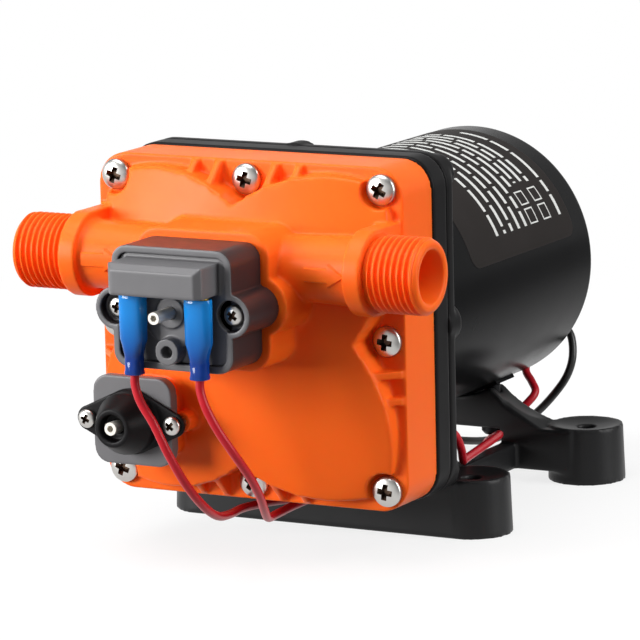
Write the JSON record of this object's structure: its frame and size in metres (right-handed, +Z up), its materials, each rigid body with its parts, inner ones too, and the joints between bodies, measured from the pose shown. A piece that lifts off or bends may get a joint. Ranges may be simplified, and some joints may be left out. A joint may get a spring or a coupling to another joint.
{
  "type": "diaphragm water pump",
  "caption": "Twelve-volt diaphragm water pump: orange head with threaded side ports, pressure switch and bypass valve, black motor and footed base, wire leads.",
  "frame": {"origin": "centre of the four foot holes, on the surface that the feet stand on", "axes": "+Z up, +Y along the motor from the head to its rear end, +X towards the outlet port"},
  "size_m": [0.1325, 0.2072, 0.1113],
  "materials": {
    "orange_plastic": "moulded glass-filled polypropylene, satin",
    "black_plastic": "moulded satin",
    "base_plastic": "moulded satin",
    "black_paint": "semi-gloss paint on drawn steel",
    "stainless": "bright cold-headed stainless",
    "bearing_steel": "ground",
    "spring_steel": "drawn wire",
    "iron": "bare",
    "magnet": "sintered ferrite",
    "copper": "enamelled",
    "brass": "sintered or stamped",
    "white_plastic": "moulded",
    "carbon": "pressed",
    "rubber": "moulded",
    "blue_nylon": "clear glossy",
    "red_pvc": "extruded satin",
    "black_pvc": "extruded satin"
  },
  "bodies": {
    "pump_body": {"upper_housing": "orange_plastic", "diaphragm_frame": "black_plastic", "lower_housing": "black_plastic", "head_screws": "stainless", "valve_plate": "white_plastic", "valve_gasket": "rubber", "inlet_valves": "rubber", "outlet_valve": "rubber", "diaphragm": "rubber", "motor_can": "black_paint", "motor_front_plate": "bearing_steel", "front_bush": "brass", "rear_bush": "brass", "motor_screws": "stainless", "magnets": "magnet", "brush_card": "white_plastic", "brush_springs": "spring_steel", "lead_grommet": "rubber", "base_frame": "base_plastic", "motor_saddles": "black_paint", "saddle_screws": "stainless", "switch_body": "black_plastic", "switch_cover": "black_plastic", "switch_membrane": "rubber", "switch_spring": "spring_steel", "microswitch": "black_plastic", "switch_screws": "stainless", "switch_tabs": "brass", "spade_receptacles": "brass", "spade_sleeves": "blue_nylon", "bypass_plate": "black_plastic", "bypass_cap": "black_plastic", "bypass_screws": "stainless", "bypass_spring": "spring_steel", "lead_switch_to_motor": "red_pvc", "lead_supply_red": "red_pvc", "lead_supply_black": "black_pvc", "lead_tips": "copper"},
    "rotor": {"motor_shaft": "bearing_steel", "armature_core": "iron", "armature_windings": "copper", "commutator": "copper", "swash_cam": "iron", "swash_bearing_inner": "bearing_steel"},
    "wobble": {"wobble_plate": "white_plastic", "swash_bearing_outer": "bearing_steel", "swash_bearing_balls": "bearing_steel", "piston_caps": "white_plastic", "piston_screws": "stainless"},
    "brush_left": {"brush_left": "carbon"},
    "brush_right": {"brush_right": "carbon"},
    "switch_plunger": {"switch_plunger": "white_plastic"},
    "pressure_adjuster": {"pressure_adjuster": "stainless"},
    "bypass_poppet": {"bypass_poppet": "white_plastic"},
    "bypass_adjuster": {"bypass_adjuster": "stainless"}
  },
  "joints": [
    {"name": "rotor_spin", "type": "hinge", "parent": "pump_body", "child": "rotor", "pos_m": [0, 0, 0.063], "axis": [0, 1, 0], "continuous": true, "deforming": ["diaphragm"]},
    {"name": "wobble_spin", "type": "hinge", "parent": "rotor", "child": "wobble", "pos_m": [0, -0.061, 0.063], "axis": [0, 0.9986, 0.0523], "continuous": true, "deforming": ["diaphragm"]},
    {"name": "brush_left_slide", "type": "slide", "parent": "pump_body", "child": "brush_left", "axis": [-1, 0, 0], "range_m": [0, 0.004], "stiffness_N_per_m": 80, "springref_m": -0.004, "deforming": ["brush_springs"]},
    {"name": "brush_right_slide", "type": "slide", "parent": "pump_body", "child": "brush_right", "axis": [1, 0, 0], "range_m": [0, 0.004], "stiffness_N_per_m": 80, "springref_m": -0.004, "deforming": ["brush_springs"]},
    {"name": "switch_plunger_slide", "type": "slide", "parent": "pump_body", "child": "switch_plunger", "axis": [0, -1, 0], "range_m": [0, 0.0012], "stiffness_N_per_m": 800, "springref_m": -0.001, "deforming": ["switch_spring", "switch_membrane"]},
    {"name": "pressure_adjuster_turn", "type": "hinge", "parent": "pump_body", "child": "pressure_adjuster", "pos_m": [0, -0.13, 0.0754], "axis": [0, -1, 0], "range_deg": [-180, 180]},
    {"name": "bypass_poppet_slide", "type": "slide", "parent": "pump_body", "child": "bypass_poppet", "axis": [0, -1, 0], "range_m": [0, 0.0025], "stiffness_N_per_m": 600, "springref_m": -0.001, "deforming": ["bypass_spring"]},
    {"name": "bypass_adjuster_turn", "type": "hinge", "parent": "pump_body", "child": "bypass_adjuster", "pos_m": [-0.027, -0.115, 0.0395], "axis": [0, -1, 0], "range_deg": [-180, 180]}
  ],
  "couplings": [
    {"joint": "wobble_spin", "follows": "rotor_spin", "ratio": -1}
  ]
}
